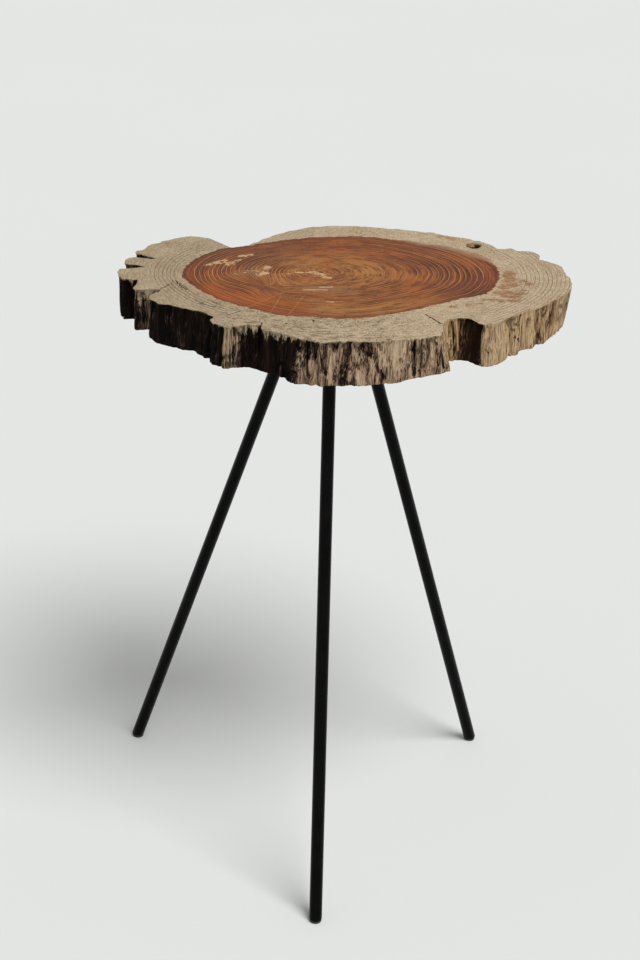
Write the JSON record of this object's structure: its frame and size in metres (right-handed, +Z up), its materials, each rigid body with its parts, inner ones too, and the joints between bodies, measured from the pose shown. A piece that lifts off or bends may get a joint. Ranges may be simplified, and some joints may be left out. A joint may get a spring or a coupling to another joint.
{
  "type": "side table",
  "caption": "Side table with a thick slice of a tree as its top, on a tripod of raking black steel rods that end in thin pads.",
  "frame": {"origin": "on the floor, under the middle of the table's box; the tripod's own axis stands 15 mm towards -X and 26.6 mm towards +Y of it", "axes": "+Z up; the slab's long way is X; the front rod points along -Y"},
  "size_m": [0.416, 0.3672, 0.557],
  "materials": {
    "wood": "weathered end grain, orange heartwood in pale sapwood, rough dark sides",
    "black_steel": "satin blackened steel",
    "zinc_steel": "zinc plated",
    "pad": "matte black"
  },
  "bodies": {
    "root": {"slab_top": "wood", "mounting_plate": "black_steel", "leg_front": "black_steel", "leg_right": "black_steel", "leg_left": "black_steel", "weld_front": "black_steel", "weld_right": "black_steel", "weld_left": "black_steel", "glide_front": "pad", "glide_right": "pad", "glide_left": "pad", "screw_1": "zinc_steel", "screw_2": "zinc_steel", "screw_3": "zinc_steel", "screw_4": "zinc_steel", "screw_5": "zinc_steel", "screw_6": "zinc_steel"}
  },
  "joints": []
}
